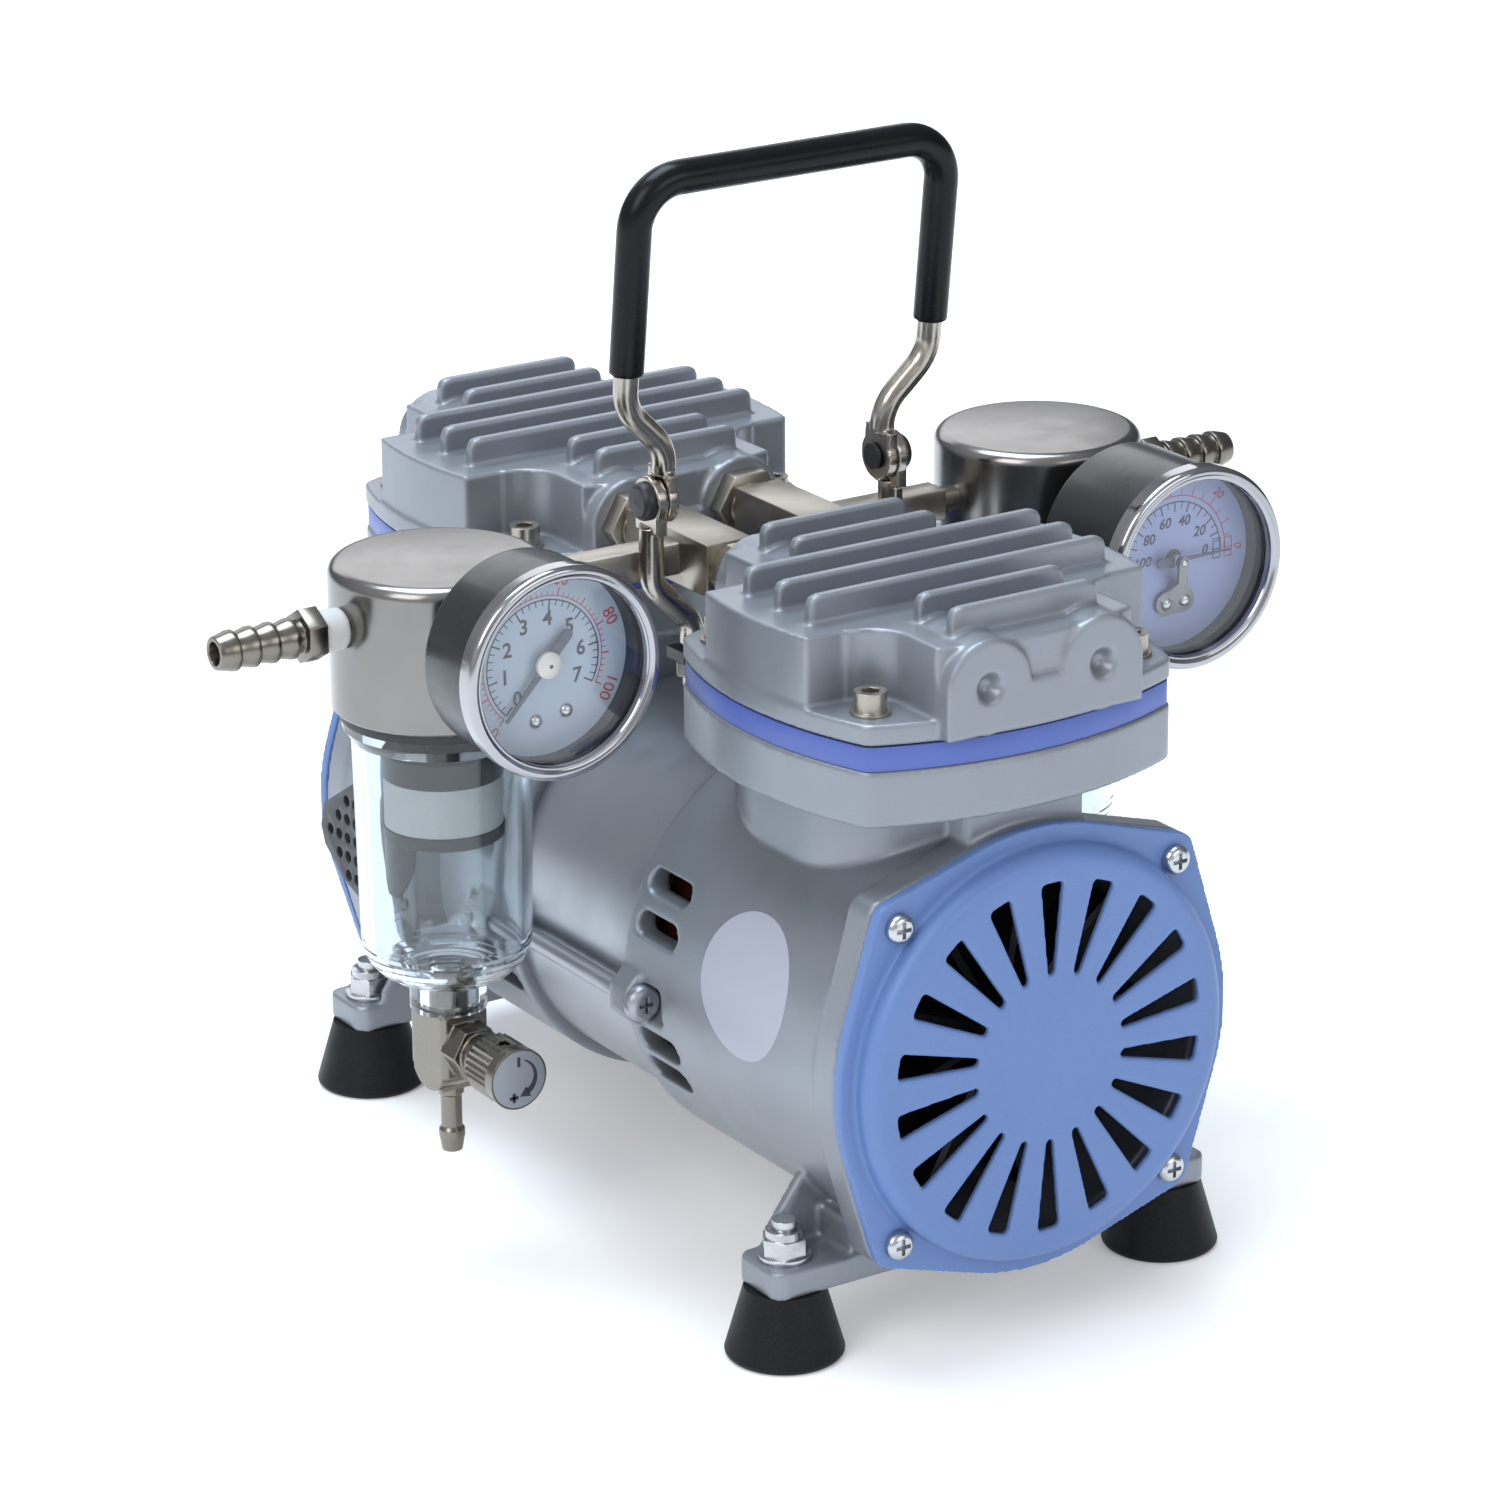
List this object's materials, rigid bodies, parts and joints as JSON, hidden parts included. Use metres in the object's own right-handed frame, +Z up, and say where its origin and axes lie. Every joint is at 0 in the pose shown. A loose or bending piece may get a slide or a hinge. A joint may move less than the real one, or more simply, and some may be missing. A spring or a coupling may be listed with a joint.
{
  "type": "vacuum pump",
  "caption": "Oil-free laboratory vacuum and pressure pump: finned heads on a central motor, clear moisture traps with gauges and drain valves, rubber feet and a folding carry handle.",
  "frame": {"origin": "on the floor plane under the rubber feet, midway between the feet and midway between the two end covers", "axes": "+Z up; +X across the pump, from the pressure trap on the left to the vacuum trap on the right; the motor shaft runs along Y and the front, with the gauge faces, looks towards -Y"},
  "size_m": [0.3034, 0.2626, 0.2755],
  "materials": {
    "silver_paint": "satin silver-grey paint on die-cast aluminium",
    "machined_aluminium": "machined",
    "polished_aluminium": "polished, turned",
    "lamination": "stacked laminations",
    "copper": "enamelled copper wire",
    "band_steel": "satin sheet",
    "bright_steel": "zinc plated",
    "dark_steel": "dark oxide",
    "cover_blue": "blue paint on die-cast aluminium",
    "plate_blue": "blue anodised",
    "nickel_brass": "nickel plated",
    "seal_rubber": "matte",
    "foot_rubber": "matte",
    "handle_chrome": "bright plated",
    "bezel_chrome": "bright plated",
    "gauge_black": "semi-gloss enamel",
    "grip_vinyl": "soft sheen",
    "black_plastic": "moulded",
    "ivory_plastic": "moulded",
    "filter_white": "sintered",
    "seal_ptfe": "smooth",
    "clear_plastic": "clear",
    "lens_glass": "clear",
    "dial_white": "satin",
    "pointer_grey": "satin",
    "box_black": "matte powder coat"
  },
  "bodies": {
    "pump_body": {"front_housing": "silver_paint", "rear_housing": "silver_paint", "front_head": "silver_paint", "rear_head": "silver_paint", "stator_core": "lamination", "stator_windings": "copper", "stator_band": "band_steel", "tie_bolts": "bright_steel", "cover_screws": "bright_steel", "foot_studs": "bright_steel", "foot_nuts": "bright_steel", "main_bearings": "bright_steel", "reed_valves": "bright_steel", "front_fan_cover": "cover_blue", "rear_fan_cover": "cover_blue", "cylinder_sleeves": "machined_aluminium", "valve_plates": "plate_blue", "head_gaskets": "seal_rubber", "bowl_seals": "seal_rubber", "head_screws": "nickel_brass", "port_adapters": "nickel_brass", "pressure_manifold": "nickel_brass", "vacuum_manifold": "nickel_brass", "hose_barbs": "nickel_brass", "valve_bodies": "nickel_brass", "drain_barbs": "nickel_brass", "bourdon_tubes": "nickel_brass", "rubber_feet": "foot_rubber", "handle_bracket": "dark_steel", "handle_links": "handle_chrome", "handle_rivets": "black_plastic", "trap_caps": "polished_aluminium", "left_trap_bowl": "clear_plastic", "right_trap_bowl": "clear_plastic", "filter_holders": "black_plastic", "filter_elements": "filter_white", "gauge_cases": "gauge_black", "gauge_bezels": "bezel_chrome", "gauge_lenses": "lens_glass", "gauge_dials": "dial_white", "electrical_box": "box_black", "terminal_block": "ivory_plastic", "cable_grommet": "seal_rubber"},
    "rotor": {"shaft": "bright_steel", "rotor_core": "lamination", "crank_eccentrics": "dark_steel", "cooling_fans": "black_plastic"},
    "front_rod": {"front_rod": "machined_aluminium", "front_piston_seal": "seal_ptfe"},
    "rear_rod": {"rear_rod": "machined_aluminium", "rear_piston_seal": "seal_ptfe"},
    "handle": {"handle_frame": "handle_chrome", "handle_grip": "grip_vinyl"},
    "left_spindle": {"left_valve_spindle": "nickel_brass"},
    "right_spindle": {"right_valve_spindle": "nickel_brass"},
    "left_knob": {"left_valve_knob": "nickel_brass"},
    "right_knob": {"right_valve_knob": "nickel_brass"},
    "pressure_pointer": {"pressure_pointer": "pointer_grey"},
    "vacuum_pointer": {"vacuum_pointer": "pointer_grey"},
    "rocker": {"power_rocker": "black_plastic"}
  },
  "joints": [
    {"name": "rotor_spin", "type": "hinge", "parent": "pump_body", "child": "rotor", "pos_m": [0, 0, 0.0738], "axis": [0, 1, 0], "continuous": true},
    {"name": "front_rod_pivot", "type": "hinge", "parent": "rotor", "child": "front_rod", "pos_m": [0, -0.078, 0.0778], "axis": [0, 1, 0], "continuous": true, "deforming": ["front_piston_seal"]},
    {"name": "rear_rod_pivot", "type": "hinge", "parent": "rotor", "child": "rear_rod", "pos_m": [0, 0.078, 0.0698], "axis": [0, 1, 0], "continuous": true, "deforming": ["rear_piston_seal"]},
    {"name": "handle_fold", "type": "hinge", "parent": "pump_body", "child": "handle", "pos_m": [0.002, -0.0083, 0.1878], "axis": [1, 0, 0], "range_deg": [-92.5, 78.5]},
    {"name": "left_spindle_travel", "type": "slide", "parent": "pump_body", "child": "left_spindle", "axis": [0, -1, 0], "range_m": [0, 0.0015]},
    {"name": "left_knob_turn", "type": "hinge", "parent": "left_spindle", "child": "left_knob", "pos_m": [-0.09, -0.026, 0.0554], "axis": [0, -1, 0], "range_deg": [0, 1080]},
    {"name": "right_spindle_travel", "type": "slide", "parent": "pump_body", "child": "right_spindle", "axis": [0, -1, 0], "range_m": [0, 0.0015]},
    {"name": "right_knob_turn", "type": "hinge", "parent": "right_spindle", "child": "right_knob", "pos_m": [0.09, -0.026, 0.0554], "axis": [0, -1, 0], "range_deg": [0, 1080]},
    {"name": "pressure_reading", "type": "hinge", "parent": "pump_body", "child": "pressure_pointer", "pos_m": [-0.09, -0.048, 0.168], "axis": [0, 1, 0], "range_deg": [0, 260]},
    {"name": "vacuum_reading", "type": "hinge", "parent": "pump_body", "child": "vacuum_pointer", "pos_m": [0.09, -0.057, 0.1635], "axis": [0, -1, 0], "range_deg": [0, 185]},
    {"name": "power_rock", "type": "hinge", "parent": "pump_body", "child": "rocker", "pos_m": [-0.0596, 0.076, 0.0896], "axis": [1, 0, 0], "range_deg": [0, 18]}
  ],
  "couplings": [
    {"joint": "front_rod_pivot", "follows": "rotor_spin", "ratio": -1},
    {"joint": "rear_rod_pivot", "follows": "rotor_spin", "ratio": -1},
    {"joint": "left_knob_turn", "follows": "left_spindle_travel", "rad_per_m": 12566},
    {"joint": "right_knob_turn", "follows": "right_spindle_travel", "rad_per_m": 12566}
  ]
}
